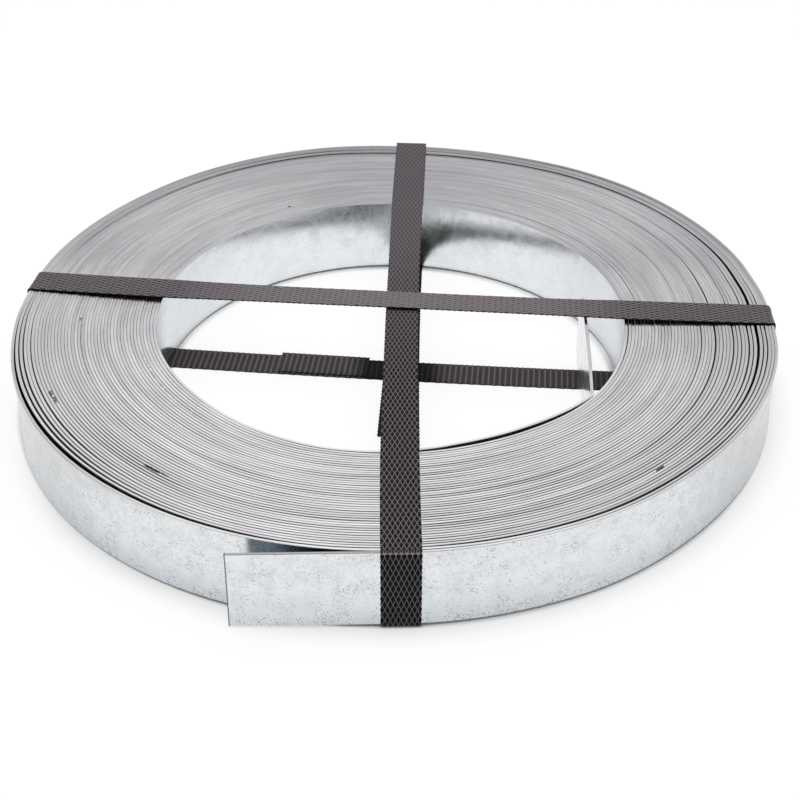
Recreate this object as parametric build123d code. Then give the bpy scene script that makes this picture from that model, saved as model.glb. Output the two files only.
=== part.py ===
from build123d import *
import os

# A coil of flat steel strip lying on its side face, held by two plastic straps.
# The coil's axis is Z, the floor is Z = 0, and the front is -Y. All sizes are in millimetres and degrees.

# Steel strip and the coil that it is wound into
strip_width = 30.0
strip_thickness = 1.2
turns = 43
turn_gap = 0.08
bore_diameter = 177.0
edge_break = 0.15
seam_depth = 0.35

# Outer end of the strip, which leaves the coil at the front and stands off to the left
outer_tail_length = 52.5
outer_tail_angle = -90.0
outer_tail_step = 0.1
outer_tail_lift = 0.7

# Inner end of the strip: a loose stretch of the innermost turn, a sharp bend and a straight tail
loose_start_angle = -110.0
loose_gap = 2.2
inner_bend_angle = -38.5
inner_tail_length = 68.0
inner_tail_heading = 88.0

# Plastic straps, each a closed loop over, round and under the coil
strap_width = 13.0
strap_thickness = 0.65
strap_bend_radius = 1.3
wall_clearance = 0.3
rim_clearance = 2.0
crossing_gap = 0.15
weld_length = 36.0

# Strap that runs left to right and passes outside the other one, bowed up off the coil
over_heading = -5.2
over_top_offset = 8.5
over_bottom_offset = 5.9
over_top_bow = 2.0
over_weld_start = -44.0

# Strap that runs front to back and passes inside the other one
under_heading = 89.0
under_top_offset = -4.4
under_bottom_offset = -4.0
under_weld_start = -50.0

# Derived sizes
pitch = strip_thickness + turn_gap
bore_radius = bore_diameter / 2
coil_radius = bore_radius + turns * pitch - turn_gap
coil_bottom = strap_thickness
coil_top = coil_bottom + strip_width
loop_height = coil_top + strap_thickness
crossing_step = strap_thickness + crossing_gap
upright = (Align.CENTER, Align.CENTER, Align.MIN)


def end_profile():
    """Points across one end of the coil, from the bore outwards: a flat land for each turn's edge,
    with a V seam between neighbouring turns. The second number is the depth below the end."""
    points = [(bore_radius, edge_break)]
    for turn in range(turns):
        inner_face = bore_radius + turn * pitch
        outer_face = inner_face + strip_thickness
        if turn > 0:
            points.append((inner_face - turn_gap / 2, seam_depth))
        points.append((inner_face + edge_break, 0))
        points.append((outer_face - edge_break, 0))
    points.append((coil_radius, edge_break))
    return points


def wound_strip():
    """The turned body of the coil, with its bore and the turns showing on both ends."""
    across = end_profile()
    lower = [(radius, 0, coil_bottom + depth) for radius, depth in across]
    upper = [(radius, 0, coil_top - depth) for radius, depth in reversed(across)]
    section = make_face(Polyline(*lower, *upper, close=True))
    return revolve(section, Axis.Z)


def outer_tail():
    """The straight outer end of the strip, standing off the coil's outer face."""
    plate = Box(
        strip_thickness,
        outer_tail_length,
        strip_width,
        align=(Align.MAX, Align.MAX, Align.MIN),
    )
    root = Rot(0, 0, outer_tail_angle) * Pos(coil_radius + outer_tail_step, 0, coil_bottom)
    return root * Rot(0, 0, outer_tail_lift) * plate


def in_plan(radius, angle):
    """A vector in plan with a length and an angle from +X."""
    return Vector(radius, 0).rotate(Axis.Z, angle)


def inner_tail():
    """The loose stretch of the innermost turn and the straight tail beyond its bend.
    The path lies on the face that looks at the coil, and both its roots are sunk in the first turn."""
    rooted = bore_radius + strip_thickness / 2
    root = in_plan(rooted, loose_start_angle)
    middle = in_plan(bore_radius - loose_gap, (loose_start_angle + inner_bend_angle) / 2)
    bend = in_plan(rooted, inner_bend_angle)
    end = bend + in_plan(inner_tail_length, inner_tail_heading)
    path = Wire([ThreePointArc(root, middle, bend), Line(bend, end)])
    outline = path.offset_2d(strip_thickness, Kind.INTERSECTION, Side.LEFT, closed=True)
    return Pos(0, 0, coil_bottom) * extrude(make_face(outline), strip_width)


def bow(half_span, rise, height):
    """The low arched block between a strap's run and the straight line under it."""
    chord = Line((-half_span, height), (half_span, height))
    arch = ThreePointArc((half_span, height), (0, height + rise), (-half_span, height))
    return extrude(Plane.XZ * make_face([chord, arch]), 2 * coil_radius, both=True)


def drum(radius, bottom, top):
    """An upright cylinder on the coil's axis."""
    return Pos(0, 0, bottom) * Cylinder(radius, top - bottom, align=upright)


def strap_slice(bottom_offset, top_offset):
    """A leaning slab as wide as a strap: its lower and upper runs are offset from the coil's axis."""
    half = strap_width / 2
    lean = (top_offset - bottom_offset) / loop_height
    slab_top = 2 * loop_height
    upper_offset = bottom_offset + lean * slab_top
    section = Polyline(
        (bottom_offset - half, 0),
        (bottom_offset + half, 0),
        (upper_offset + half, slab_top),
        (upper_offset - half, slab_top),
        close=True,
    )
    return extrude(Plane.YZ * make_face(section), 2 * coil_radius, both=True)


def strap(heading, bottom_offset, top_offset, bottom_bow, top_bow, weld_start):
    """A closed strap: a slice of a thin drum that follows the coil's wall and both its ends.
    Its upper run bows up between the outer rims, and its lower run may bow up inside the bore.
    The lower run has a second layer where the two ends of the strap overlap and are welded."""
    wall_radius = coil_radius + wall_clearance
    free_span = bore_radius - loose_gap - strip_thickness - rim_clearance
    outside = drum(wall_radius + strap_thickness, 0, loop_height)
    outside = fillet(outside.edges().filter_by(GeomType.CIRCLE), strap_bend_radius)
    inside = drum(wall_radius, coil_bottom, coil_top)
    outside += bow(coil_radius - rim_clearance, top_bow, loop_height)
    inside += bow(coil_radius - rim_clearance, top_bow, coil_top)
    if bottom_bow > 0:
        outside -= bow(free_span, bottom_bow, 0)
        inside -= bow(free_span, bottom_bow, coil_bottom)
    loop = (outside - inside) & strap_slice(bottom_offset, top_offset)
    weld_zone = Pos(weld_start + weld_length / 2, 0, 0) * Box(weld_length, coil_radius, strip_width, align=upright)
    weld_layer = (Pos(0, 0, strap_thickness) * loop) & weld_zone
    return Rot(0, 0, heading) * (loop + weld_layer)


coil = wound_strip() + outer_tail() + inner_tail()

# The outer strap lies flat on the floor, and the inner one keeps inside it at both crossings.
strap_over = strap(over_heading, over_bottom_offset, over_top_offset, 0, over_top_bow, over_weld_start)
strap_under = strap(
    under_heading,
    under_bottom_offset,
    under_top_offset,
    crossing_step,
    over_top_bow - crossing_step,
    under_weld_start,
)

os.makedirs("parts", exist_ok=True)
for name, shape in {"strip_coil": coil, "strap_over": strap_over, "strap_under": strap_under}.items():
    shape.label = name
    export_step(shape, f"parts/{name}.step")
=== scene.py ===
import math
from types import SimpleNamespace

import bpy
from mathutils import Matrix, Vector


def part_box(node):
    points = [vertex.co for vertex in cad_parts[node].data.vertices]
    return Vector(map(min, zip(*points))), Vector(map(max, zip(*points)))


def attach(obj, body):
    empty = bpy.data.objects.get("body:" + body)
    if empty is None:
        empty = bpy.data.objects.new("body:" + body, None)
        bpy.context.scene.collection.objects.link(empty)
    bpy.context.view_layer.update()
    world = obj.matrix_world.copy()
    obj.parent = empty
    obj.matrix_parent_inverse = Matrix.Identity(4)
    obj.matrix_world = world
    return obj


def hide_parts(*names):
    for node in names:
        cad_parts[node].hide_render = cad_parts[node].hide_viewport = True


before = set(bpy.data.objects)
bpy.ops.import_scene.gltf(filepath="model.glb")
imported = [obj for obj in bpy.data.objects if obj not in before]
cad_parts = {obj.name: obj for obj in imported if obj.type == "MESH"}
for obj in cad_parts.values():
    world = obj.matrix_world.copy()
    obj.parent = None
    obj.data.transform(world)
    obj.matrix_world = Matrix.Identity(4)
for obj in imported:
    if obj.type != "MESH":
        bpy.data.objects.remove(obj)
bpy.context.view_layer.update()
MM = 0.001


# Coil of strip. One length of hot-dip galvanised steel strip, slit to width, so its faces are zinc and its
# long edges are bare steel. It is wound flat on itself: each turn lies on the turn inside it, tight in
# places and slack in others, and both ends of the strip are left free.
strip_width = 30.0 * MM
strip_thickness = 1.18 * MM
strip_corner = 0.14 * MM
strip_crossbow = 0.60 * MM
coil_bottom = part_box("strip_coil")[0].z
bore_radius = 87.5 * MM
bore_centre = Vector((-1.3, -2.0, 0.0)) * MM
segments_per_turn = 144
whole_turns = 43
last_part_turn = 20
inner_end_angle = math.radians(-36.9)
inner_tail_length = 66.5 * MM
inner_tail_heading = math.radians(86.4)
inner_tail_curl = 1.8 * MM
inner_tail_steps = 8
inner_bend_radius = 3.0 * MM
outer_tail_length = 59.0 * MM
outer_tail_heading = math.radians(181.2)
outer_tail_steps = 8

# Gap between turns: its share of the widest by azimuth, and then the slack places, each a turn, an azimuth,
# a half length in degrees and an extra gap in mm
gap_by_azimuth = (
    (-180, 0.34),
    (-145, 0.19),
    (-110, 0.29),
    (-75, 0.20),
    (-57, 0.34),
    (-40, 0.37),
    (-15, 0.37),
    (-9, 0.36),
    (-6, 0.32),
    (-2, 0.29),
    (2, 0.32),
    (6, 0.40),
    (10, 0.44),
    (32, 0.73),
    (55, 0.58),
    (80, 0.35),
    (95, 0.53),
    (112, 0.72),
    (140, 0.52),
    (160, 0.48),
    (166, 0.42),
    (171, 0.34),
    (180, 0.34),
)
slack_places = (
    (42, -137, 50, 1.20),
    (41, -150, 45, 0.54),
    (40, -155, 42, 0.46),
    (38, -148, 50, 0.36),
    (42, -60, 42, 0.54),
    (40, -5, 30, 0.36),
    (39, -10, 34, 0.28),
    (38, -4, 46, 0.88),
    (38, 80, 100, 1.10),
    (40, 88, 80, 0.35),
    (42, 55, 60, 0.50),
    (37, -8, 34, 0.28),
    (36, -6, 46, 0.44),
    (34, -12, 34, 0.20),
    (33, -12, 34, 0.14),
    (32, -12, 44, 0.34),
    (29, -14, 36, 0.14),
    (27, -6, 50, 0.42),
    (23, -10, 44, 0.20),
    (32, 30, 40, 0.10),
    (27, 38, 45, 0.14),
    (18, 40, 50, 0.20),
    (5, 38, 50, 0.36),
    (1, -8, 26, 0.24),
)

# Loose stretch of the first turn: its length in turns, and how its slack swells and dies away along it
loose_turns = 0.222
slack_shape = (
    (0.0, 0.0),
    (0.08, 0.33),
    (0.17, 0.56),
    (0.36, 0.75),
    (0.54, 0.43),
    (0.65, 0.17),
    (0.78, 0.05),
    (1.0, 0.0),
)

# Places where the inner turns are pushed out of round: an azimuth, a sharpness and a push in mm
pushed_places = ((-36.9, 20, 1.8), (-138, 12, -1.5), (-78, 12, -0.7))


def new_tree(name, kind, inputs=(), outputs=()):
    """A node tree or group with named sockets, and its input and output nodes."""
    tree = bpy.data.node_groups.new(name, kind)
    for label, socket_type in inputs:
        tree.interface.new_socket(label, in_out="INPUT", socket_type=socket_type)
    for label, socket_type in outputs:
        tree.interface.new_socket(label, in_out="OUTPUT", socket_type=socket_type)
    return tree, tree.nodes.new("NodeGroupInput"), tree.nodes.new("NodeGroupOutput")


def plug(tree, value, socket):
    """Links an output to a socket, or sets the socket to a plain value."""
    if isinstance(value, bpy.types.NodeSocket):
        tree.links.new(value, socket)
    else:
        socket.default_value = value


def add(tree, kind, settings=None, **inputs):
    """A node with its settings, and its inputs given by name."""
    node = tree.nodes.new(kind)
    for key, value in (settings or {}).items():
        setattr(node, key, value)
    for label, value in inputs.items():
        plug(tree, value, node.inputs[label.replace("_", " ")])
    return node


def maths(tree, operation, *values, clamp=False):
    """A Math node's result."""
    node = add(tree, "ShaderNodeMath", {"operation": operation, "use_clamp": clamp})
    for socket, value in zip(node.inputs, values):
        plug(tree, value, socket)
    return node.outputs[0]


def vector_maths(tree, operation, *values):
    """A Vector Math node's result."""
    node = add(tree, "ShaderNodeVectorMath", {"operation": operation})
    for socket, value in zip(node.inputs, values):
        plug(tree, value, socket)
    return node.outputs["Value" if operation in ("DOT_PRODUCT", "LENGTH") else "Vector"]


def product(tree, first, *others):
    """Several values multiplied together."""
    for other in others:
        first = maths(tree, "MULTIPLY", first, other)
    return first


def noise(tree, place, scale, detail, roughness=0.5, drift=None):
    """A noise texture's value, which also changes along a fourth coordinate where a drift is given."""
    node = add(tree, "ShaderNodeTexNoise", Vector=place, Scale=scale, Detail=detail, Roughness=roughness)
    if drift is not None:
        node.noise_dimensions = "4D"
        plug(tree, drift, node.inputs["W"])
    return node.outputs[0]


def float_curve(tree, value, points):
    """A value passed through a smooth curve, which is given by its points from nought to one."""
    node = add(tree, "ShaderNodeFloatCurve", Value=value)
    curve = node.mapping.curves[0]
    for place in points[1:-1]:
        curve.points.new(*place)
    curve.points[0].location = points[0]
    curve.points[-1].location = points[-1]
    node.mapping.update()
    return node.outputs[0]


def polar(tree, radius, angle, height=0.0):
    """A point from its radius, azimuth and height."""
    along_x = maths(tree, "MULTIPLY", radius, maths(tree, "COSINE", angle))
    along_y = maths(tree, "MULTIPLY", radius, maths(tree, "SINE", angle))
    return add(tree, "ShaderNodeCombineXYZ", X=along_x, Y=along_y, Z=height).outputs[0]


def store(tree, geometry, label, value, kind="FLOAT"):
    """Keeps a value on each point under a name that later nodes and the material can read."""
    settings = {"data_type": kind, "domain": "POINT"}
    node = add(tree, "GeometryNodeStoreNamedAttribute", settings, Geometry=geometry, Name=label, Value=value)
    return node.outputs[0]


def smoothed(tree, geometry, domain="FACE", where=True):
    """Smooth shading on the faces, or over the edges that a rule gives."""
    node = add(tree, "GeometryNodeSetShadeSmooth", {"domain": domain}, Geometry=geometry, Shade_Smooth=where)
    return node.outputs[0]


def hand_over(tree, geometry, material, result):
    """The end of a tree: instances made real, and the material set."""
    whole = add(tree, "GeometryNodeRealizeInstances", Geometry=geometry).outputs[0]
    finished = add(tree, "GeometryNodeSetMaterial", Geometry=whole, Material=material).outputs[0]
    plug(tree, finished, result.inputs[0])


def turn_position(turn, azimuth):
    """How far along the coil, in turns, the strip passes an azimuth in degrees on a given turn."""
    return turn + (math.degrees(inner_end_angle) - azimuth) / 360 % 1


def strip_tree():
    """The strip: a spiral path, where each turn's gap is added to all the gaps inside it, and a section."""
    sizes = [
        ("Material", "NodeSocketMaterial"),
        ("Section", "NodeSocketObject"),
        ("Bore Centre", "NodeSocketVector"),
    ]
    numbers = ("Strip Thickness", "Strip Width", "Bottom", "Bore Radius", "Widest Gap", "Gap Noise")
    numbers += ("Height Noise", "Inner Slack", "Seed")
    sizes += [(label, "NodeSocketFloat") for label in numbers]
    outputs = [("Geometry", "NodeSocketGeometry")]
    tree, given, result = new_tree("wound strip", "GeometryNodeTree", sizes, outputs)
    size = given.outputs
    steps = whole_turns * segments_per_turn + last_part_turn
    last_step = inner_tail_steps + steps
    count = last_step + outer_tail_steps + 1
    index = add(tree, "GeometryNodeInputIndex").outputs[0]
    step = maths(tree, "SUBTRACT", index, float(inner_tail_steps))
    turn = maths(tree, "DIVIDE", step, float(segments_per_turn))
    turn = maths(tree, "MINIMUM", maths(tree, "MAXIMUM", turn, 0.0), steps / segments_per_turn)
    azimuth = maths(tree, "SUBTRACT", inner_end_angle, maths(tree, "MULTIPLY", turn, math.tau))

    # Gap under each point of the strip: by azimuth, with a noise that drifts from turn to turn
    noise_reach = 1.6
    noise_drift = 1.37
    least_gap = 0.01 * MM
    around = polar(tree, noise_reach, azimuth)
    drift = maths(tree, "ADD", size["Seed"], maths(tree, "MULTIPLY", turn, noise_drift))
    swing = maths(tree, "SUBTRACT", noise(tree, around, 1.0, 2.0, drift=drift), 0.5)
    swing = maths(tree, "MULTIPLY", swing, size["Gap Noise"])
    round_share = maths(tree, "FRACT", maths(tree, "DIVIDE", maths(tree, "ADD", azimuth, math.pi), math.tau))
    gap_shape = [(place / 360 + 0.5, share) for place, share in gap_by_azimuth]
    tightness = float_curve(tree, round_share, gap_shape)
    gap = maths(tree, "MULTIPLY_ADD", tightness, size["Widest Gap"], swing)
    gap = maths(tree, "MAXIMUM", gap, least_gap)
    for place_turn, place_azimuth, half_length, extra in slack_places:
        middle = turn_position(place_turn, place_azimuth)
        away = maths(tree, "DIVIDE", maths(tree, "SUBTRACT", turn, middle), half_length / 360)
        bulge = maths(tree, "SUBTRACT", 1.0, maths(tree, "MULTIPLY", away, away), clamp=True)
        gap = maths(tree, "MULTIPLY_ADD", maths(tree, "MULTIPLY", bulge, bulge), extra * MM, gap)
    gap = maths(tree, "MULTIPLY", gap, maths(tree, "MINIMUM", turn, 1.0))
    ray = maths(tree, "FLOORED_MODULO", step, float(segments_per_turn))
    stacked = add(tree, "GeometryNodeAccumulateField", {"data_type": "FLOAT"}, Value=gap, Group_ID=ray)

    # Loose inner stretch of the first turn
    loose_share = maths(tree, "MINIMUM", maths(tree, "DIVIDE", turn, loose_turns), 1.0)
    slack = maths(tree, "MULTIPLY", float_curve(tree, loose_share, slack_shape), size["Inner Slack"])

    # Place of each point: on the spiral, or straight on from one of its ends
    wound = maths(tree, "MULTIPLY_ADD", turn, size["Strip Thickness"], stacked.outputs["Leading"])
    first_radius = maths(tree, "MULTIPLY_ADD", size["Strip Thickness"], 0.5, size["Bore Radius"])
    radius = maths(tree, "SUBTRACT", maths(tree, "ADD", wound, first_radius), slack)
    fading = maths(tree, "SUBTRACT", 1.0, maths(tree, "DIVIDE", turn, float(whole_turns)))
    for place_azimuth, sharpness, push in pushed_places:
        near = maths(tree, "COSINE", maths(tree, "SUBTRACT", azimuth, math.radians(place_azimuth)))
        near = maths(tree, "POWER", maths(tree, "MAXIMUM", near, 0.0), float(sharpness))
        radius = maths(tree, "MULTIPLY_ADD", maths(tree, "MULTIPLY", near, fading), push * MM, radius)
    rise = maths(tree, "MULTIPLY", noise(tree, around, 1.7, 1.0, drift=drift), size["Height Noise"])
    middle_height = maths(tree, "MULTIPLY_ADD", size["Strip Width"], 0.5, size["Bottom"])
    height = maths(tree, "ADD", middle_height, rise)
    spiral = vector_maths(tree, "ADD", polar(tree, radius, azimuth, height), size["Bore Centre"])
    nearest = maths(tree, "MINIMUM", maths(tree, "MAXIMUM", index, float(inner_tail_steps)), float(last_step))
    on_spiral = add(
        tree,
        "GeometryNodeFieldAtIndex",
        {"data_type": "FLOAT_VECTOR", "domain": "POINT"},
        Index=nearest,
        Value=spiral,
    ).outputs[0]
    before = maths(tree, "MAXIMUM", maths(tree, "SUBTRACT", float(inner_tail_steps), index), 0.0)
    inwards = maths(tree, "MULTIPLY", before, inner_tail_length / inner_tail_steps)
    curl = maths(tree, "MULTIPLY", maths(tree, "POWER", before, 2.0), inner_tail_curl / inner_tail_steps**2)
    inner_tail = vector_maths(
        tree,
        "ADD",
        polar(tree, inwards, inner_tail_heading),
        polar(tree, curl, inner_tail_heading + math.pi / 2),
    )
    after = maths(tree, "MAXIMUM", maths(tree, "SUBTRACT", index, float(last_step)), 0.0)
    outwards = maths(tree, "MULTIPLY", after, outer_tail_length / outer_tail_steps)
    tails = vector_maths(tree, "ADD", inner_tail, polar(tree, outwards, outer_tail_heading))
    line = add(tree, "GeometryNodeMeshLine", Count=count)
    placed = add(
        tree,
        "GeometryNodeSetPosition",
        Geometry=line.outputs[0],
        Position=vector_maths(tree, "ADD", on_spiral, tails),
    )
    path = add(tree, "GeometryNodeMeshToCurve", Mesh=placed.outputs[0]).outputs[0]
    path = store(tree, path, "turn", turn)
    length = add(tree, "GeometryNodeSplineParameter").outputs["Length"]
    path = store(tree, path, "along", length)
    whole_length = add(tree, "GeometryNodeSplineLength").outputs["Length"]
    path = store(tree, path, "to_end", maths(tree, "SUBTRACT", whole_length, length))
    at_bend = maths(tree, "COMPARE", index, float(inner_tail_steps), 0.1)
    bend = maths(tree, "MULTIPLY", at_bend, inner_bend_radius)
    path = add(tree, "GeometryNodeFilletCurve", {"mode": "POLY"}, Curve=path, Count=5, Radius=bend).outputs[0]
    path = add(tree, "GeometryNodeSetCurveNormal", {"mode": "Z_UP"}, Curve=path).outputs[0]

    # Section of the strip, with its own coordinates kept for the material
    section = add(tree, "GeometryNodeObjectInfo", Object=size["Section"]).outputs["Geometry"]
    place = add(tree, "ShaderNodeSeparateXYZ", Vector=add(tree, "GeometryNodeInputPosition").outputs[0])
    half_width = maths(tree, "DIVIDE", size["Strip Width"], 2.0)
    depth = maths(tree, "DIVIDE", place.outputs["X"], size["Strip Thickness"])
    across = maths(tree, "DIVIDE", place.outputs["Y"], half_width)
    section = store(tree, section, "depth", depth)
    section = store(tree, section, "across", across)
    swept = add(tree, "GeometryNodeCurveToMesh", Curve=path, Profile_Curve=section, Fill_Caps=True).outputs[0]
    fold = add(tree, "GeometryNodeInputMeshEdgeAngle").outputs["Unsigned Angle"]
    soft = maths(tree, "LESS_THAN", fold, math.radians(20))
    hand_over(tree, smoothed(tree, smoothed(tree, swept), "EDGE", soft), size["Material"], result)
    return tree


def section_curve(name, points):
    """A closed outline in the XY plane, for a strip or strap to be swept from."""
    curve = bpy.data.curves.new(name, "CURVE")
    spline = curve.splines.new("POLY")
    spline.points.add(len(points) - 1)
    for point, (x, y) in zip(spline.points, points):
        point.co = (x, y, 0.0, 1.0)
    spline.use_cyclic_u = True
    section = bpy.data.objects.new(name, curve)
    bpy.context.scene.collection.objects.link(section)
    return section


def strip_section():
    """The strip's section: chamfered edges, which lie a little further out than the middle of its width."""
    half_thickness = strip_thickness / 2
    half_width = strip_width / 2
    flat = half_width - strip_corner
    shares = (1.0, 0.55, 0.0, -0.55, -1.0)
    outer = [(half_thickness - strip_crossbow * share**2, share * flat) for share in shares]
    inner = [(-half_thickness - strip_crossbow * share**2, share * flat) for share in shares]
    cut = half_thickness - strip_corner
    top = [(cut - strip_crossbow, half_width), (-cut - strip_crossbow, half_width)]
    bottom = [(-cut - strip_crossbow, -half_width), (cut - strip_crossbow, -half_width)]
    return section_curve("strip_section", outer[::-1] + top + inner + bottom)


def grown(name, tree, values):
    """Runs a Geometry Nodes tree with its inputs set, and keeps the result as a plain mesh at the origin."""
    maker = bpy.data.objects.new(name + "_maker", bpy.data.meshes.new(name + "_maker"))
    bpy.context.scene.collection.objects.link(maker)
    modifier = maker.modifiers.new("maker", "NODES")
    modifier.node_group = tree
    sockets = {item.name: item.identifier for item in tree.interface.items_tree if item.in_out == "INPUT"}
    for label, value in values.items():
        modifier[sockets[label]] = value
    shape = maker.evaluated_get(bpy.context.evaluated_depsgraph_get())
    mesh = bpy.data.meshes.new_from_object(shape)
    mesh.name = name
    maker.modifiers.remove(modifier)
    bpy.data.objects.remove(maker)
    piece = bpy.data.objects.new(name, mesh)
    bpy.context.scene.collection.objects.link(piece)
    return piece


def attribute(tree, label):
    """A number kept on the mesh."""
    return add(tree, "ShaderNodeAttribute", {"attribute_name": label}).outputs["Fac"]


def ramp(tree, value, low, high, out_low=0.0, out_high=1.0):
    """A smooth step from one level to another."""
    node = add(tree, "ShaderNodeMapRange", {"interpolation_type": "SMOOTHSTEP"})
    for socket, number in zip(node.inputs, (value, low, high, out_low, out_high)):
        plug(tree, number, socket)
    return node.outputs[0]


def blend_colour(tree, share, first, second):
    """One colour laid over another."""
    node = add(tree, "ShaderNodeMix", {"data_type": "RGBA"})
    plug(tree, share, node.inputs[0])
    plug(tree, first, node.inputs[6])
    plug(tree, second, node.inputs[7])
    return node.outputs[2]


def speckle_group():
    """Small round specks of mixed size in loose clusters, as dust on plastic and as dull points in zinc."""
    inputs = (("Vector", "NodeSocketVector"), ("Scale", "NodeSocketFloat"), ("Amount", "NodeSocketFloat"))
    tree, given, result = new_tree("specks", "ShaderNodeTree", inputs, [("Mask", "NodeSocketFloat")])
    vector = given.outputs["Vector"]
    scale = given.outputs["Scale"]
    dots = add(tree, "ShaderNodeTexVoronoi", Vector=vector, Scale=scale)
    chance = add(tree, "ShaderNodeSeparateColor", Color=dots.outputs["Color"]).outputs[0]
    cluster = noise(tree, vector, maths(tree, "MULTIPLY", scale, 0.09), 4.0)
    crowd = maths(tree, "MULTIPLY", given.outputs["Amount"], ramp(tree, cluster, 0.35, 0.68, 0.5, 1.6))
    reach = maths(tree, "ADD", chance, maths(tree, "SUBTRACT", crowd, 1.0))
    radius = maths(tree, "MULTIPLY", maths(tree, "MAXIMUM", reach, 0.0), 1.3)
    inside = maths(tree, "SUBTRACT", maths(tree, "MINIMUM", radius, 0.5), dots.outputs["Distance"])
    plug(tree, ramp(tree, inside, -0.14, 0.12), result.inputs[0])
    return tree


specks = speckle_group()


def speckled(tree, vector, scale, amount):
    """Places the specks group in a material."""
    node = add(tree, "ShaderNodeGroup", {"node_tree": specks}, Vector=vector, Scale=scale, Amount=amount)
    return node.outputs[0]


def scuff_group():
    """A mark along a turn: one within a length and a width of a place on the coil's end, and nought away."""
    inputs = (
        ("Place", "NodeSocketVector"),
        ("Direction", "NodeSocketVector"),
        ("Radius", "NodeSocketFloat"),
        ("Half Length", "NodeSocketFloat"),
        ("Half Width", "NodeSocketFloat"),
    )
    tree, given, result = new_tree("scuff", "ShaderNodeTree", inputs, [("Mask", "NodeSocketFloat")])
    size = given.outputs
    flat = vector_maths(tree, "MULTIPLY", size["Place"], (1.0, 1.0, 0.0))
    outwards = vector_maths(tree, "DOT_PRODUCT", flat, size["Direction"])
    radius = vector_maths(tree, "LENGTH", flat)
    sideways = vector_maths(tree, "LENGTH", vector_maths(tree, "CROSS_PRODUCT", flat, size["Direction"]))
    off_turn = maths(tree, "DIVIDE", maths(tree, "SUBTRACT", radius, size["Radius"]), size["Half Width"])
    on_turn = ramp(tree, maths(tree, "ABSOLUTE", off_turn), 0.7, 1.0, 1.0, 0.0)
    in_length = ramp(tree, maths(tree, "DIVIDE", sideways, size["Half Length"]), 0.6, 1.0, 1.0, 0.0)
    same_side = maths(tree, "GREATER_THAN", outwards, 0.0)
    plug(tree, product(tree, on_turn, in_length, same_side), result.inputs[0])
    return tree


scuffs = scuff_group()


def scuffed(tree, place, radius, azimuth, half_length, half_width):
    """Places the scuff group in a material, with its sizes in mm and its azimuth in degrees."""
    direction = (math.cos(math.radians(azimuth)), math.sin(math.radians(azimuth)), 0.0)
    node = add(
        tree,
        "ShaderNodeGroup",
        {"node_tree": scuffs},
        Place=place,
        Direction=direction,
        Radius=radius * MM,
        Half_Length=half_length * MM,
        Half_Width=half_width * MM,
    )
    return node.outputs[0]


def strip_pattern(tree, along, turn, per_metre, per_turn):
    """Pattern coordinates that run along the strip and change from turn to turn."""
    lengthwise = maths(tree, "MULTIPLY", along, per_metre)
    shifted = maths(tree, "MULTIPLY", turn, per_turn)
    return add(tree, "ShaderNodeCombineXYZ", X=lengthwise, Y=shifted).outputs[0]


def strip_places(tree):
    """Where a point of the strip is, on the coil and on the strip's own section, and the patterns that more
    than one part of its material needs."""
    place = add(tree, "ShaderNodeTexCoord").outputs["Object"]
    position = add(tree, "ShaderNodeSeparateXYZ", Vector=place).outputs
    across = attribute(tree, "across")
    turn = attribute(tree, "turn")
    along = attribute(tree, "along")
    bow = maths(tree, "MULTIPLY", across, across)
    depth = maths(tree, "MULTIPLY_ADD", bow, strip_crossbow / strip_thickness, attribute(tree, "depth"))
    outside = ramp(tree, depth, -0.2, 0.2, 1.0, 0.0)
    return SimpleNamespace(
        place=place,
        sideways=position["X"],
        backwards=position["Y"],
        aside=maths(tree, "ABSOLUTE", position["X"]),
        across=across,
        turn=turn,
        along=along,
        depth=depth,
        outside=outside,
        inside=maths(tree, "SUBTRACT", 1.0, outside),
        outermost=maths(tree, "GREATER_THAN", turn, whole_turns + last_part_turn / segments_per_turn - 1),
        mottle=noise(tree, place, 160.0, 7.0, 0.7),
        streak=noise(tree, strip_pattern(tree, along, turn, 9.0, 3.1), 1.0, 4.0, 0.6),
    )


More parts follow.
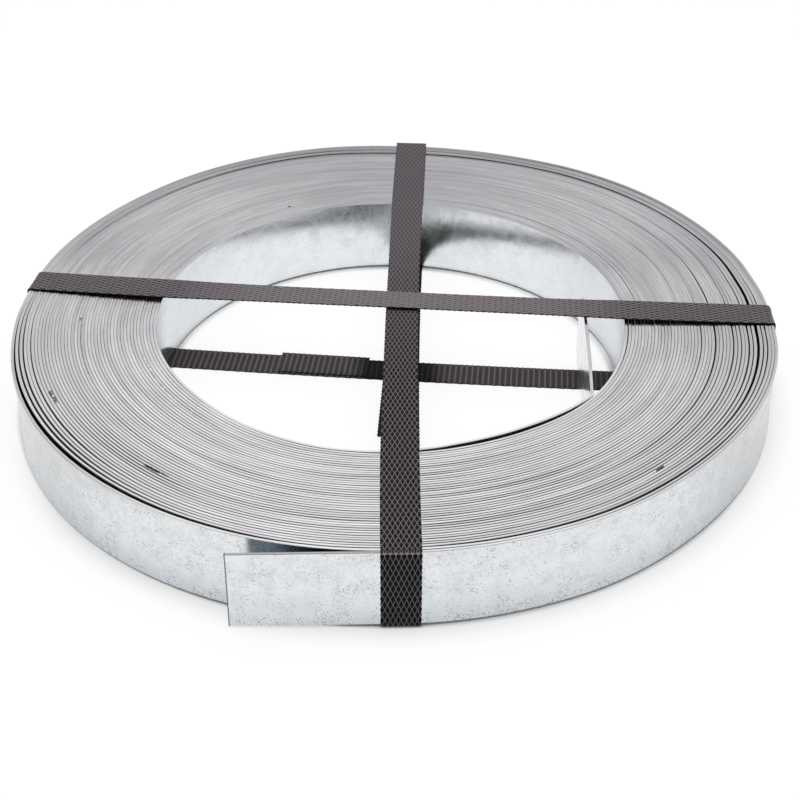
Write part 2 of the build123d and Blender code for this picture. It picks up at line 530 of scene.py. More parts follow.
def zinc_faces(tree, at):
    """Colour of the faces: mottled and specked zinc outside, with painted shade at the coil's two sides and
    towards the bottom, and smoother zinc in the bore, with painted shade at its two sides."""
    zinc = (0.795, 0.822, 0.834, 1.0)
    zinc_dull_and_shade = (0.64, 0.67, 0.69, 1.0)
    zinc_shaded = (0.52, 0.52, 0.52, 1.0)
    zinc_low_painted_shade = (0.61, 0.655, 0.695, 1.0)
    zinc_smooth = (0.82, 0.85, 0.87, 1.0)
    speck = (0.26, 0.275, 0.285, 1.0)
    shaded_dull_sides = (80 * MM, 140 * MM)
    shaded_sides = (90 * MM, 140 * MM)
    bore_shade_sides = (60 * MM, 85 * MM)
    fine = noise(tree, at.place, 1100.0, 3.0, 0.6)
    dullness_and_side_shade = maths(tree, "MULTIPLY_ADD", fine, 0.5, maths(tree, "MULTIPLY", at.mottle, 0.6))
    # Painted shade: the coil's two sides are made duller, on top of the zinc's own random dullness
    dullness_and_side_shade = maths(tree, "ADD", dullness_and_side_shade, ramp(tree, at.aside, *shaded_dull_sides, 0.0, 0.12))
    face = blend_colour(tree, ramp(tree, dullness_and_side_shade, 0.46, 0.72), zinc, zinc_dull_and_shade)
    # Painted shade on the coil's two sides
    face = blend_colour(tree, ramp(tree, at.aside, *shaded_sides, 0.0, 0.85), face, zinc_shaded)
    # Painted shade, darker and bluer towards the bottom of the faces
    face = blend_colour(tree, ramp(tree, at.across, -0.2, 0.85, 0.0, 0.55), face, zinc_low_painted_shade)
    crowd = ramp(tree, at.across, 0.5, 1.0, 0.32, 0.52)
    spots = maths(tree, "MULTIPLY", speckled(tree, at.place, 1700.0, crowd), 0.65)
    face = blend_colour(tree, spots, face, speck)
    bore_face = blend_colour(tree, ramp(tree, at.mottle, 0.5, 0.8), zinc_smooth, zinc)
    # Painted shade on the bore's two sides
    bore_face = blend_colour(tree, ramp(tree, at.aside, *bore_shade_sides, 0.0, 0.55), bore_face, zinc_dull_and_shade)
    bore_face = blend_colour(tree, ramp(tree, dullness_and_side_shade, 0.46, 0.66, 0.0, 0.32), bore_face, zinc_dull_and_shade)
    return blend_colour(tree, at.outside, bore_face, face)


def slit_edges(tree, at):
    """Colour of the slit edges: bare steel with streaks along a turn, bands over several turns, painted shade
    at the front's two sides, and painted shade on the outer turns at the back."""
    slit_edge = (0.95, 0.937, 0.948, 1.0)
    slit_edge_dull_and_shade = (0.74, 0.728, 0.74, 1.0)
    slit_edge_painted_shade = (0.58, 0.57, 0.585, 1.0)
    side_shade_turns = (16.0, 37.0)
    side_shade_aside = (50 * MM, 110 * MM)
    side_shade_front = (-20 * MM, 10 * MM)
    shaded_from_turn = 38.2
    shaded_back = (30 * MM, 120 * MM)
    edge = blend_colour(tree, ramp(tree, at.streak, 0.40, 0.68), slit_edge, slit_edge_dull_and_shade)
    flat = vector_maths(tree, "MULTIPLY", at.place, (1.0, 1.0, 0.0))
    round_coil = vector_maths(tree, "MULTIPLY", vector_maths(tree, "NORMALIZE", flat), (3.0, 3.0, 0.0))
    out_from_axis = maths(tree, "MULTIPLY", vector_maths(tree, "LENGTH", flat), 190.0)
    band_place = add(tree, "ShaderNodeCombineXYZ", Z=out_from_axis).outputs[0]
    band = noise(tree, vector_maths(tree, "ADD", round_coil, band_place), 1.0, 4.0, 0.65)
    edge = blend_colour(tree, ramp(tree, band, 0.42, 0.66, 0.0, 0.6), edge, slit_edge_dull_and_shade)
    # Painted shade on the slit edges at the front's two sides
    wear_and_painted_shade = product(
        tree,
        ramp(tree, at.turn, *side_shade_turns),
        ramp(tree, at.aside, *side_shade_aside, 0.0, 0.6),
        ramp(tree, at.backwards, *side_shade_front, 1.0, 0.0),
    )
    edge = blend_colour(tree, wear_and_painted_shade, edge, slit_edge_dull_and_shade)
    # Painted shade on the edges of the outer turns at the back
    dust_and_painted_shade = product(
        tree,
        maths(tree, "GREATER_THAN", at.turn, shaded_from_turn),
        ramp(tree, at.backwards, *shaded_back),
        ramp(tree, at.streak, 0.35, 0.6, 0.45, 0.8),
    )
    return blend_colour(tree, dust_and_painted_shade, edge, slit_edge_painted_shade)


def dirt_and_shade_on_edges(tree, at, edge):
    """Dirt and painted shade laid over the edges' colour: painted shade on the turn under the widest gap,
    dark seams between the turns that are partly dirt and partly painted shade, wider and stronger towards the
    front and none on the rim, and a few broken marks."""
    seam_dirt_and_shade = (0.15, 0.148, 0.152, 1.0)
    soot = (0.012, 0.012, 0.012, 1.0)
    rust = (0.17, 0.13, 0.08, 1.0)
    turn_under_gap = 37.7
    gap_back = (30 * MM, 100 * MM)
    widened_front = (-110 * MM, -50 * MM)
    sharp_seams_at = -35 * MM
    sharp_seams_reach = (10 * MM, 50 * MM)
    seam_front = (-80 * MM, 30 * MM)

    # Each mark is a colour, its strength, and a radius, an azimuth, a half length and a half width
    marks = (
        (seam_dirt_and_shade, 0.3, (117.9, -168.0, 26.0, 0.5)),
        (seam_dirt_and_shade, 0.3, (120.6, 176.5, 10.0, 0.5)),
        (seam_dirt_and_shade, 0.3, (96.7, -147.0, 34.0, 0.6)),
        (soot, 0.9, (128.15, -128.0, 6.5, 0.75)),
        (soot, 0.9, (134.3, -48.0, 4.4, 0.7)),
        (soot, 0.9, (95.0, 117.6, 0.8, 0.7)),
        (soot, 0.7, (118.7, -177.4, 1.6, 0.5)),
        (rust, 0.9, (133.5, -154.6, 5.0, 0.9)),
    )
    # Painted shade on the turn under the widest gap, at the back
    from_gap = maths(tree, "ABSOLUTE", maths(tree, "SUBTRACT", at.turn, turn_under_gap))
    gap_shade = maths(tree, "LESS_THAN", from_gap, 0.5)
    gap_shade = maths(tree, "MULTIPLY", gap_shade, ramp(tree, at.backwards, *gap_back, 0.0, 0.4))
    edge = blend_colour(tree, gap_shade, edge, seam_dirt_and_shade)
    uneven = noise(tree, strip_pattern(tree, at.along, at.turn, 3.0, 7.3), 1.0, 1.0)
    off_middle = maths(tree, "ABSOLUTE", maths(tree, "SUBTRACT", at.sideways, sharp_seams_at))
    # The seams are partly dirt and partly painted shade: wider towards the front, less so near its middle,
    # and stronger at the front than at the back
    seam_shade_widening = product(
        tree,
        ramp(tree, at.backwards, *widened_front, 0.13, 0.0),
        ramp(tree, uneven, 0.3, 0.7, 0.2, 1.6),
        ramp(tree, off_middle, *sharp_seams_reach, 0.55, 1.0),
    )
    on_rim = product(
        tree,
        at.outermost,
        maths(tree, "LESS_THAN", at.depth, 0.0),
        maths(tree, "LESS_THAN", at.across, 0.0),
    )
    seam = product(
        tree,
        ramp(tree, maths(tree, "ADD", maths(tree, "ABSOLUTE", at.depth), seam_shade_widening), 0.36, 0.47),
        ramp(tree, at.backwards, *seam_front, 1.0, 0.22),
        ramp(tree, uneven, 0.3, 0.6, 0.6, 1.0),
        maths(tree, "SUBTRACT", 1.0, on_rim),
        ramp(tree, at.streak, 0.35, 0.65, 0.7, 1.0),
    )
    edge = blend_colour(tree, seam, edge, seam_dirt_and_shade)
    broken = ramp(tree, noise(tree, at.place, 800.0, 2.0), 0.42, 0.50)
    for colour, strength, sizes in marks:
        wear_and_painted_shade = product(tree, scuffed(tree, at.place, *sizes), broken, strength)
        edge = blend_colour(tree, wear_and_painted_shade, edge, colour)
    return edge


def galvanised_strip():
    """The strip's material: zinc faces, slit edges of bare steel with dirt and painted shade on them, and a
    dark cut end.
    """
    cut_end = (0.16, 0.16, 0.165, 1.0)
    tail_shade = (0.11, 0.145, 0.19, 1.0)
    rim_stain = (0.60, 0.55, 0.46, 1.0)
    stained_left = (-100 * MM, -60 * MM)
    stained_front = (-50 * MM, -20 * MM)
    edge_roughness = 0.22
    material = bpy.data.materials.new("galvanised_strip")
    material.use_nodes = True
    tree = material.node_tree
    shader = tree.nodes["Principled BSDF"]
    shader.inputs["Metallic"].default_value = 1.0
    at = strip_places(tree)
    face = zinc_faces(tree, at)
    edge = dirt_and_shade_on_edges(tree, at, slit_edges(tree, at))
    on_edge = ramp(tree, maths(tree, "ABSOLUTE", at.across), 0.988, 0.992)

    # Outer end, with its shaded back and its cut, and the stain along the rim
    tail_start = whole_turns + (last_part_turn - 1) / segments_per_turn
    on_tail = ramp(tree, at.turn, tail_start, tail_start + 1 / segments_per_turn)
    edge = blend_colour(tree, maths(tree, "MULTIPLY", on_tail, 0.55), edge, cut_end)
    face = blend_colour(tree, product(tree, on_tail, at.inside, 0.85), face, tail_shade)
    stained = product(
        tree,
        at.outermost,
        ramp(tree, at.across, -0.97, -0.82, 0.52, 0.0),
        ramp(tree, at.sideways, *stained_left, 1.0, 0.0),
        ramp(tree, at.backwards, *stained_front, 1.0, 0.0),
    )
    colour = blend_colour(tree, on_edge, face, edge)
    colour = blend_colour(tree, stained, colour, rim_stain)
    at_end = ramp(tree, attribute(tree, "to_end"), 0.2 * MM, 0.6 * MM, 1.0, 0.0)
    plug(tree, blend_colour(tree, at_end, colour, cut_end), shader.inputs["Base Color"])

    # Gloss, fine grain, and faint upright wiped streaks in the bore
    roughness = add(tree, "ShaderNodeMix", {"data_type": "FLOAT"})
    plug(tree, on_edge, roughness.inputs[0])
    plug(tree, ramp(tree, at.mottle, 0.3, 0.75, 0.16, 0.27), roughness.inputs[2])
    plug(tree, edge_roughness, roughness.inputs[3])
    plug(tree, roughness.outputs[0], shader.inputs["Roughness"])
    grain = noise(tree, at.place, 900.0, 3.0)
    upright = vector_maths(tree, "MULTIPLY", at.place, (110.0, 110.0, 26.0))
    wiped = maths(tree, "MULTIPLY", noise(tree, upright, 1.0, 4.0, 0.6), at.inside)
    bump = add(tree, "ShaderNodeBump", Strength=0.06, Distance=0.2 * MM, Height=grain).outputs[0]
    bump = add(tree, "ShaderNodeBump", Strength=0.12, Distance=0.6 * MM, Height=wiped, Normal=bump).outputs[0]
    plug(tree, bump, shader.inputs["Normal"])
    return material


outline = strip_section()
coil = grown(
    "strip_coil_wound",
    strip_tree(),
    {
        "Material": galvanised_strip(),
        "Section": outline,
        "Strip Thickness": strip_thickness,
        "Strip Width": strip_width,
        "Bottom": coil_bottom,
        "Bore Radius": bore_radius,
        "Bore Centre": bore_centre,
        "Widest Gap": 0.15 * MM,
        "Gap Noise": 0.08 * MM,
        "Height Noise": 0.42 * MM,
        "Inner Slack": 2.2 * MM,
        "Seed": 4.0,
    },
)
bpy.data.objects.remove(outline)
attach(coil, "root")
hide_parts("strip_coil")


# Straps. Two bands of black polypropylene, rolled with a diamond grid on the outer face and with cross ribs
# on the inner one. Each goes once round the coil, pulled tight over its rims, and its two ends overlap and
# are welded together in the bore. The front-to-back strap lies inside the left-to-right one.
strap_width = 13.0 * MM
strap_thickness = 0.65 * MM
strap_bend = 1.3 * MM
strap_step = 0.5 * MM
strap_side_share = 0.985
bore_share = 0.6
diamond_length = 4.4 * MM
diamond_width = 1.75 * MM
rib_pitch = diamond_length / 2
rim_height = coil_bottom + strip_width + 0.25 * MM


def on_wall(radius, side, height, from_front):
    """A point on the coil's wall, from its sideways place and its height."""
    reach = math.copysign(math.sqrt(radius * radius - side * side), radius)
    return Vector((side, reach, height)) if from_front else Vector((reach, side, height))


def strap_legs(from_front, reaches, top_sides, low_sides, sags, lift, raised, waist):
    """The four legs of a strap: for each, a rule for a point on its inner face, its outward direction and
    how far it narrows. The reaches are the wall radii at the strap's start and end, the sides are its places
    across them, and the sags are how far the upper run, its first half more so, and the lower run bow. The
    upper run also lifts, and narrows to a waist, and the lower run is raised in the bore."""
    start, end = -reaches[0], reaches[1]
    top_sag, sag_lean, low_sag = sags
    sideways = 0 if from_front else 1
    upwards = Vector((0, 0, 1))

    def wall(radius, top_side, low_side, share):
        side = (top_side + (low_side - top_side) * share) * MM
        height = rim_height + (strap_thickness - rim_height) * share
        return on_wall(radius * MM, side, height, from_front)

    def over_bore(share):
        place = (2 * share - 1) / bore_share
        return max(0.0, 1 - place * place)

    def top(share):
        first = wall(start, top_sides[0], low_sides[0], 0.0)
        last = wall(end, top_sides[1], low_sides[1], 0.0)
        place = 2 * share - 1
        point = first.lerp(last, share)
        point[sideways] -= top_sag * (1 - place * place) * (1 - sag_lean * place) * MM
        point.z += lift * (1 - abs(place) ** 1.5) * MM
        return point

    def low(share):
        first = wall(end, top_sides[1], low_sides[1], 1.0)
        last = wall(start, top_sides[0], low_sides[0], 1.0)
        point = first.lerp(last, share)
        point[sideways] -= low_sag * over_bore(share) * MM
        point.z += raised * over_bore(share) * MM
        return point

    def slim(share):
        place = (2 * share - 1) / bore_share
        return waist * max(0.0, 1 - place**4)

    def even(share):
        return 0.0

    return [
        (top, lambda point: upwards, slim),
        (lambda share: wall(end, top_sides[1], low_sides[1], share), radial, even),
        (low, lambda point: -upwards, even),
        (lambda share: wall(start, top_sides[0], low_sides[0], 1 - share), radial, even),
    ]


def radial(point):
    """The level direction from the coil's axis to a point."""
    return Vector((point.x, point.y, 0.0)).normalized()


def strap_points(legs):
    """Points along the closed strap, each with its outward direction, how sharply it is folded and how far
    it narrows, with the corners between legs rounded and creased in their middle."""
    corner_steps = ((0.17, 0.0), (0.35, 0.0), (0.5, 1.0), (0.65, 0.0), (0.83, 0.0))
    points = []
    for (leg, out, slim), (next_leg, next_out, _) in zip(legs, legs[1:] + legs[:1]):
        length = (leg(1.0) - leg(0.0)).length
        trim = strap_bend / length
        count = round(length / strap_step)
        for number in range(count + 1):
            share = trim + (1 - 2 * trim) * number / count
            points.append((leg(share), out(leg(share)), 0.0, slim(share)))
        corner = leg(1.0)
        begin = leg(1 - trim)
        finish = next_leg(strap_bend / (next_leg(1.0) - next_leg(0.0)).length)
        for share, fold in corner_steps:
            point = begin.lerp(corner, share).lerp(corner.lerp(finish, share), share)
            outward = out(begin).lerp(next_out(finish), share).normalized()
            points.append((point, outward, fold, 0.0))
    return points


def strap_path(name, legs, weld):
    """The strap's loop and the open end that overlaps it, as a chain of edges with values on its points."""
    points = strap_points(legs)
    count = len(points)
    edges = [(number, (number + 1) % count) for number in range(count)]
    first, last = (Vector(end) * MM for end in weld)
    steps = round((last - first).length / strap_step)
    for number in range(steps + 1):
        points.append((first.lerp(last, number / steps), Vector((0, 0, -1)), 0.0, 0.0))
    edges += [(count + number, count + number + 1) for number in range(steps)]
    places, outwards, folds, slims = zip(*points)
    mesh = bpy.data.meshes.new(name)
    mesh.from_pydata(places, edges, [])
    layer = mesh.attributes.new("outward", "FLOAT_VECTOR", "POINT")
    for entry, out in zip(layer.data, outwards):
        entry.vector = out
    for label, values in (("fold", folds), ("slim", slims)):
        layer = mesh.attributes.new(label, "FLOAT", "POINT")
        for entry, value in zip(layer.data, values):
            entry.value = value
    path = bpy.data.objects.new(name, mesh)
    bpy.context.scene.collection.objects.link(path)
    return path


def strap_section():
    """The strap's section: many points across the outer face for its diamonds, and few across the inner."""
    outer_steps = 13
    inner_steps = 3
    half = strap_width / 2
    flat = half * strap_side_share
    outer = [(strap_thickness, flat * step / outer_steps) for step in range(-outer_steps, outer_steps + 1)]
    inner = [(0.0, -flat * step / inner_steps) for step in range(-inner_steps, inner_steps + 1)]
    sides = [(strap_thickness / 2, half), (strap_thickness / 2, -half)]
    return section_curve("strap_section", outer + sides[:1] + inner + sides[1:])


def diamond(tree, along, across, length, width):
    """One on the ridges of a diamond grid and nought in the middle of its hollows, from places on a strap."""
    rows = maths(tree, "DIVIDE", along, length)
    columns = maths(tree, "DIVIDE", across, width)
    ridges = []
    for direction in ("ADD", "SUBTRACT"):
        cell = maths(tree, "FRACT", maths(tree, direction, rows, columns))
        from_hollow = maths(tree, "ABSOLUTE", maths(tree, "SUBTRACT", cell, 0.5))
        ridges.append(maths(tree, "MULTIPLY", from_hollow, 2.0))
    return maths(tree, "MAXIMUM", *ridges)


def wave(tree, place, pitch):
    """A smooth wave from nought to one, with its crests a pitch apart."""
    turned = maths(tree, "COSINE", maths(tree, "MULTIPLY", maths(tree, "DIVIDE", place, pitch), math.tau))
    return maths(tree, "MULTIPLY_ADD", turned, 0.5, 0.5)


def named(tree, label, kind="FLOAT"):
    """A value kept on the points under a name."""
    return add(tree, "GeometryNodeInputNamedAttribute", {"data_type": kind}, Name=label).outputs[0]


def strap_tree():
    """A strap swept along its path, with the diamonds and ribs from its rolling pressed into the two faces.
    """
    sizes = [
        ("Material", "NodeSocketMaterial"),
        ("Path", "NodeSocketObject"),
        ("Section", "NodeSocketObject"),
    ]
    numbers = ("Strap Thickness", "Diamond Length", "Diamond Width", "Diamond Depth", "Rib Pitch")
    numbers += ("Rib Depth", "Edge Wave", "Bloom")
    sizes += [(label, "NodeSocketFloat") for label in numbers]
    outputs = [("Geometry", "NodeSocketGeometry")]
    tree, given, result = new_tree("embossed strap", "GeometryNodeTree", sizes, outputs)
    size = given.outputs
    chain = add(tree, "GeometryNodeObjectInfo", Object=size["Path"]).outputs["Geometry"]
    path = add(tree, "GeometryNodeMeshToCurve", Mesh=chain).outputs[0]
    outward = named(tree, "outward", "FLOAT_VECTOR")
    tangent = add(tree, "GeometryNodeInputTangent").outputs[0]
    lengthwise = vector_maths(tree, "MULTIPLY", tangent, vector_maths(tree, "DOT_PRODUCT", outward, tangent))
    upright = vector_maths(tree, "NORMALIZE", vector_maths(tree, "SUBTRACT", outward, lengthwise))
    path = add(tree, "GeometryNodeSetCurveNormal", {"mode": "FREE"}, Curve=path, Normal=upright).outputs[0]
    path = store(tree, path, "along", add(tree, "GeometryNodeSplineParameter").outputs["Length"])
    path = store(tree, path, "bloom", size["Bloom"])
    crosswise = vector_maths(tree, "CROSS_PRODUCT", tangent, upright)
    path = store(tree, path, "sideways", crosswise, "FLOAT_VECTOR")
    section = add(tree, "GeometryNodeObjectInfo", Object=size["Section"]).outputs["Geometry"]
    place = add(tree, "ShaderNodeSeparateXYZ", Vector=add(tree, "GeometryNodeInputPosition").outputs[0])
    outer = maths(tree, "DIVIDE", place.outputs["X"], size["Strap Thickness"])
    section = store(tree, section, "outer", outer)
    section = store(tree, section, "across", place.outputs["Y"])
    swept = add(tree, "GeometryNodeCurveToMesh", Curve=path, Profile_Curve=section, Fill_Caps=True).outputs[0]

    # Rolled pattern: a diamond grid outside and ribs inside, with scalloped sides that draw in over the bore
    along = named(tree, "along")
    across = named(tree, "across")
    grid = diamond(tree, along, across, size["Diamond Length"], size["Diamond Width"])
    ridge = ramp(tree, grid, 0.55, 0.95)
    rib = wave(tree, along, size["Rib Pitch"])
    outside = maths(tree, "GREATER_THAN", named(tree, "outer"), 0.75)
    inside = maths(tree, "LESS_THAN", named(tree, "outer"), 0.25)
    hollow = maths(tree, "MULTIPLY", maths(tree, "SUBTRACT", 1.0, ridge), size["Diamond Depth"])
    groove = maths(tree, "MULTIPLY", maths(tree, "SUBTRACT", 1.0, rib), size["Rib Depth"])
    cut = maths(tree, "MULTIPLY_ADD", hollow, outside, maths(tree, "MULTIPLY", groove, inside))
    sunk = maths(tree, "MULTIPLY", cut, -1.0)
    push = vector_maths(tree, "MULTIPLY", add(tree, "GeometryNodeInputNormal").outputs[0], sunk)
    side_share = maths(tree, "ABSOLUTE", maths(tree, "DIVIDE", across, strap_width / 2))
    near_side = maths(tree, "POWER", side_share, 12.0)
    scallop = product(tree, near_side, rib, size["Edge Wave"], maths(tree, "SIGN", across))
    drawn_in = maths(tree, "SUBTRACT", scallop, maths(tree, "MULTIPLY", across, named(tree, "slim")))
    sideways = named(tree, "sideways", "FLOAT_VECTOR")
    push = vector_maths(tree, "ADD", push, vector_maths(tree, "MULTIPLY", sideways, drawn_in))
    pressed = add(tree, "GeometryNodeSetPosition", Geometry=swept, Offset=push).outputs[0]
    hand_over(tree, smoothed(tree, pressed), size["Material"], result)
    return tree


def strap_plastic():
    """Black polypropylene: ridges lightened by wear round dark hollows outside, rows of ribs inside, a pale
    bloom with a painted sheen towards the back and on faces that look up, a painted highlight along the
    folds, and painted shade on the inner ribs near the crossing and on those that look down.
    """
    black_face = ((0.002, 0.002, 0.002, 1.0), (0.012, 0.011, 0.011, 1.0), (0.210, 0.190, 0.200, 1.0))
    bloom_and_sheen_face = ((0.050, 0.043, 0.048, 1.0), (0.078, 0.068, 0.075, 1.0), (0.162, 0.145, 0.155, 1.0))
    black_shaded_ribs = ((0.002, 0.002, 0.002, 1.0), (0.006, 0.006, 0.006, 1.0))
    dusty_ribs = ((0.054, 0.047, 0.051, 1.0), (0.205, 0.184, 0.196, 1.0))
    bleached = (0.32, 0.29, 0.305, 1.0)
    crease_highlight = (0.30, 0.28, 0.29, 1.0)
    dust = (0.20, 0.19, 0.18, 1.0)
    rib_row = 0.9 * MM
    sheen_back = (-60 * MM, 90 * MM)
    crossing_side = 2 * MM
    crossing_shade = (11 * MM, 20 * MM)
    material = bpy.data.materials.new("strap_plastic")
    material.use_nodes = True
    tree = material.node_tree
    shader = tree.nodes["Principled BSDF"]
    shader.inputs["Roughness"].default_value = 0.42
    shader.inputs["Specular IOR Level"].default_value = 0.06
    place = add(tree, "ShaderNodeTexCoord").outputs["Object"]
    along = attribute(tree, "along")
    across = attribute(tree, "across")
    grid = diamond(tree, along, across, diamond_length, diamond_width)
    slope = ramp(tree, grid, 0.25, 0.85)
    crest = ramp(tree, grid, 0.84, 0.98)
    faces = []
    for hollow_colour, slope_colour, ridge_colour in (black_face, bloom_and_sheen_face):
        face = blend_colour(tree, slope, hollow_colour, slope_colour)
        faces.append(blend_colour(tree, crest, face, ridge_colour))
    position = add(tree, "ShaderNodeSeparateXYZ", Vector=place).outputs
    bloom = attribute(tree, "bloom")
    facing = add(tree, "ShaderNodeNewGeometry").outputs["Normal"]
    facing = add(tree, "ShaderNodeSeparateXYZ", Vector=facing).outputs["Z"]
    # Painted sheen: the outer face gets lighter towards the back and where it faces up, added to each strap's
    # own bloom
    bloom_and_sheen = maths(tree, "ADD", ramp(tree, position["Y"], *sheen_back), bloom)
    bloom_and_sheen = maths(tree, "ADD", bloom_and_sheen, ramp(tree, facing, 0.2, 0.8, 0.0, 0.1), clamp=True)
    outer_face = blend_colour(tree, bloom_and_sheen, *faces)
    faded = product(tree, attribute(tree, "slim"), 2.9, bloom)
    faded = maths(tree, "ADD", faded, product(tree, crest, 0.75, bloom))
    outer_face = blend_colour(tree, faded, outer_face, bleached)
    sunk = product(tree, maths(tree, "SUBTRACT", 1.0, slope), bloom, 0.6)
    outer_face = blend_colour(tree, sunk, outer_face, black_face[0])
    # Painted highlight along the folds
    fold_highlight = maths(tree, "MULTIPLY", attribute(tree, "fold"), ramp(tree, grid, 0.5, 1.0, 0.4, 1.0))
    outer_face = blend_colour(tree, fold_highlight, outer_face, crease_highlight)
    rib = maths(tree, "POWER", wave(tree, along, rib_pitch), 4.0)
    rib = maths(tree, "MULTIPLY", rib, ramp(tree, wave(tree, across, rib_row), 0.0, 1.0, 0.4, 1.0))
    # Painted shade: the inner ribs stay black near the crossing and where they face down, and only those that
    # face up elsewhere get dust
    from_crossing = maths(tree, "ABSOLUTE", maths(tree, "SUBTRACT", position["X"], crossing_side))
    clear_of_crossing_shade = ramp(tree, from_crossing, *crossing_shade, 0.15, 1.0)
    rib_dust_and_shade = maths(tree, "MULTIPLY", ramp(tree, facing, 0.2, 0.7), clear_of_crossing_shade)
    ribbed = [blend_colour(tree, rib, *colours) for colours in (black_shaded_ribs, dusty_ribs)]
    inner_face = blend_colour(tree, rib_dust_and_shade, *ribbed)
    outside = ramp(tree, attribute(tree, "outer"), 0.6, 0.9)
    colour = blend_colour(tree, outside, inner_face, outer_face)
    dust_and_painted_shade = maths(tree, "MULTIPLY", speckled(tree, place, 1500.0, 0.10), 0.4)
    plug(tree, blend_colour(tree, dust_and_painted_shade, colour, dust), shader.inputs["Base Color"])
    height = maths(tree, "MULTIPLY_ADD", crest, outside, rib)
    bump = add(tree, "ShaderNodeBump", Strength=0.4, Distance=0.1 * MM, Height=height)
    plug(tree, bump.outputs[0], shader.inputs["Normal"])
    return material


embossing = strap_tree()
plastic = strap_plastic()
band = strap_section()
under_weld = ((2.6, -5.0, 2.15), (0.8, -41.2, 2.0))
over_weld = ((-9.9, 6.4, 1.50), (-44.8, 10.1, 1.60))
under_legs = strap_legs(
    from_front=True,
    reaches=(144.3, 144.2),
    top_sides=(3.2, 8.0),
    low_sides=(3.1, 6.5),
    sags=(2.0, 0.25, 1.1),
    lift=0.45,
    raised=0.85,
    waist=0.062,
)
under_path = strap_path("strap_under_path", under_legs, under_weld)
over_legs = strap_legs(
    from_front=False,
    reaches=(143.0, 144.5),
    top_sides=(22.9, -2.6),
    low_sides=(19.5, -7.7),
    sags=(5.0, 0.0, 1.0),
    lift=1.9,
    raised=0.0,
    waist=0.13,
)
over_path = strap_path("strap_over_path", over_legs, over_weld)
for node, path, bloom in (("strap_under", under_path, 0.0), ("strap_over", over_path, 0.6)):
    strap = grown(
        node + "_embossed",
        embossing,
        {
            "Material": plastic,
            "Path": path,
            "Section": band,
            "Strap Thickness": strap_thickness,
            "Diamond Length": diamond_length,
            "Diamond Width": diamond_width,
            "Diamond Depth": 0.11 * MM,
            "Rib Pitch": rib_pitch,
            "Rib Depth": 0.08 * MM,
            "Edge Wave": 0.22 * MM,
            "Bloom": bloom,
        },
    )
    bpy.data.objects.remove(path)
    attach(strap, "root")
    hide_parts(node)
bpy.data.objects.remove(band)


# Floor, light and camera. A plain white sheet under the coil, a white room round it with a greyer band
# low down, one broad soft lamp overhead, and a long lens that looks down on the coil from the front.
floor_half = 3.0
floor_mesh = bpy.data.meshes.new("floor")
corners = [(floor_half * x, floor_half * y, 0) for x, y in ((-1, -1), (1, -1), (1, 1), (-1, 1))]
floor_mesh.from_pydata(corners, [], [(0, 1, 2, 3)])
floor = bpy.data.objects.new("floor", floor_mesh)
bpy.context.scene.collection.objects.link(floor)


def seen_directly(tree):
    """One where the camera, a mirror or a clear thing looks at the surface, and nought for its light."""
    rays = add(tree, "ShaderNodeLightPath").outputs
    mirrored = maths(tree, "MAXIMUM", rays["Is Glossy Ray"], rays["Is Transmission Ray"])
    return maths(tree, "MAXIMUM", rays["Is Camera Ray"], mirrored)


# Paper: it glows white to the camera, apart from the ring under the coil and a soft shade round it
paper_glow = 0.88
bore_edge = (bore_radius - 2 * MM, bore_radius + 1 * MM)
wall_edge = (143.5 * MM, 146.5 * MM)
shade_edge = (143.5 * MM, 157 * MM)
shade_left = (-146 * MM, -110 * MM)
shade_right = (-110 * MM, -20 * MM)
paper = bpy.data.materials.new("floor_paper")
paper.use_nodes = True
paper_tree = paper.node_tree
paper_tree.nodes.clear()
white = add(paper_tree, "ShaderNodeBsdfDiffuse", Color=(0.92, 0.92, 0.92, 1.0)).outputs[0]
glow = add(paper_tree, "ShaderNodeEmission", Color=(1.0, 1.0, 1.0, 1.0), Strength=1.0).outputs[0]
paper_place = add(paper_tree, "ShaderNodeTexCoord").outputs["Object"]
paper_aside = add(paper_tree, "ShaderNodeSeparateXYZ", Vector=paper_place).outputs["X"]
in_bore = vector_maths(paper_tree, "LENGTH", vector_maths(paper_tree, "SUBTRACT", paper_place, bore_centre))
from_axis = vector_maths(paper_tree, "LENGTH", paper_place)
shade = product(
    paper_tree,
    ramp(paper_tree, from_axis, *shade_edge, 1.0, 0.0),
    ramp(paper_tree, paper_aside, *shade_left, 0.1, 1.0),
    ramp(paper_tree, paper_aside, *shade_right, 0.62, 0.42),
)
covered = maths(paper_tree, "MAXIMUM", ramp(paper_tree, from_axis, *wall_edge, 1.0, 0.0), shade)
covered = maths(paper_tree, "MULTIPLY", ramp(paper_tree, in_bore, *bore_edge), covered)
open_floor = maths(paper_tree, "SUBTRACT", 1.0, covered)
paper_share = product(paper_tree, seen_directly(paper_tree), open_floor, paper_glow)
paper_mix = add(paper_tree, "ShaderNodeMixShader")
plug(paper_tree, paper_share, paper_mix.inputs[0])
plug(paper_tree, white, paper_mix.inputs[1])
plug(paper_tree, glow, paper_mix.inputs[2])
paper_out = add(paper_tree, "ShaderNodeOutputMaterial")
plug(paper_tree, paper_mix.outputs[0], paper_out.inputs[0])
floor_mesh.materials.append(paper)

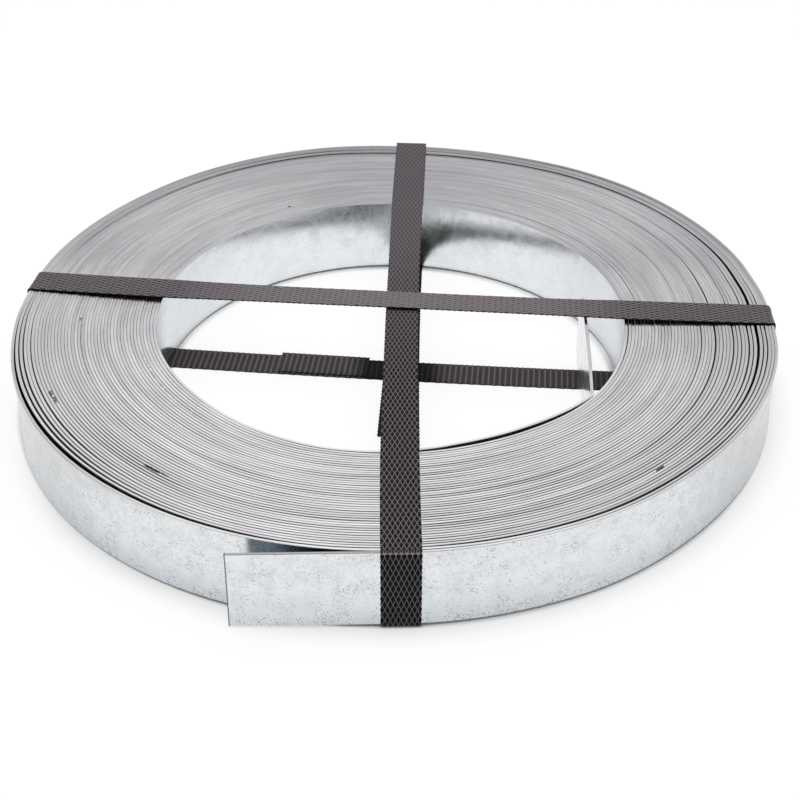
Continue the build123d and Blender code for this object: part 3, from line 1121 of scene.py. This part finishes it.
# Room: white to the camera, and to the coil grey low down, bright low at the back, dimmer high at the front
# and a little dimmer to the right
world = bpy.data.worlds.new("studio")
world.use_nodes = True
bpy.context.scene.world = world
room = world.node_tree
backdrop = room.nodes["Background"]
direction = add(room, "ShaderNodeTexCoord").outputs["Generated"]
heading = add(room, "ShaderNodeSeparateXYZ", Vector=direction).outputs
high = ramp(room, heading["Z"], 0.36, 0.67, 0.35, 1.0)
to_side = maths(room, "ABSOLUTE", heading["X"])
glow_full = ramp(room, to_side, 0.3, 0.5, 0.05, 0.34)
glow_end = ramp(room, to_side, 0.3, 0.5, 0.36, 0.54)
low_glow = ramp(room, heading["Z"], glow_full, glow_end, 0.95, 0.0)
low_glow = maths(room, "MULTIPLY", low_glow, ramp(room, heading["Y"], 0.2, 0.6))
high = maths(room, "MAXIMUM", high, low_glow)
front_dim = ramp(room, heading["Y"], -0.7, 0.1, 0.35, 1.0)
front_dim = maths(room, "MAXIMUM", front_dim, ramp(room, heading["Z"], 0.45, 0.70, 1.0, 0.0))
level = maths(room, "MULTIPLY", high, front_dim)
level = maths(room, "MULTIPLY", level, ramp(room, heading["X"], -0.15, 0.25, 1.0, 0.88))
rays = add(room, "ShaderNodeLightPath").outputs
bluish = maths(room, "MULTIPLY_ADD", level, 0.97, 0.03)
grey = add(room, "ShaderNodeCombineXYZ", X=level, Y=level, Z=bluish).outputs[0]
plug(room, blend_colour(room, rays["Is Camera Ray"], grey, (1.0, 1.0, 1.0, 1.0)), backdrop.inputs["Color"])
backdrop.inputs["Strength"].default_value = 1.0

lamp = bpy.data.lights.new("overhead", "AREA")
lamp.shape = "RECTANGLE"
lamp.size = 0.9
lamp.size_y = 0.7
lamp.energy = 6.0
overhead = bpy.data.objects.new("overhead", lamp)
overhead.location = (0.0, 0.0, 0.9)
overhead.visible_glossy = False
bpy.context.scene.collection.objects.link(overhead)

camera_place = Vector((2.76, -562.78, 379.03)) * MM
camera_target = Vector((2.76, -36.39, 15.0)) * MM
image_width = 800
focal_length_in_pixels = 1727.8
lens = bpy.data.cameras.new("camera")
lens.sensor_width = 36.0
lens.lens = focal_length_in_pixels / image_width * lens.sensor_width
lens.clip_start = 0.01
camera = bpy.data.objects.new("camera", lens)
camera.location = camera_place
camera.rotation_euler = (camera_target - camera_place).to_track_quat("-Z", "Y").to_euler()
bpy.context.scene.collection.objects.link(camera)
bpy.context.scene.camera = camera
bpy.context.scene.view_settings.view_transform = "Standard"
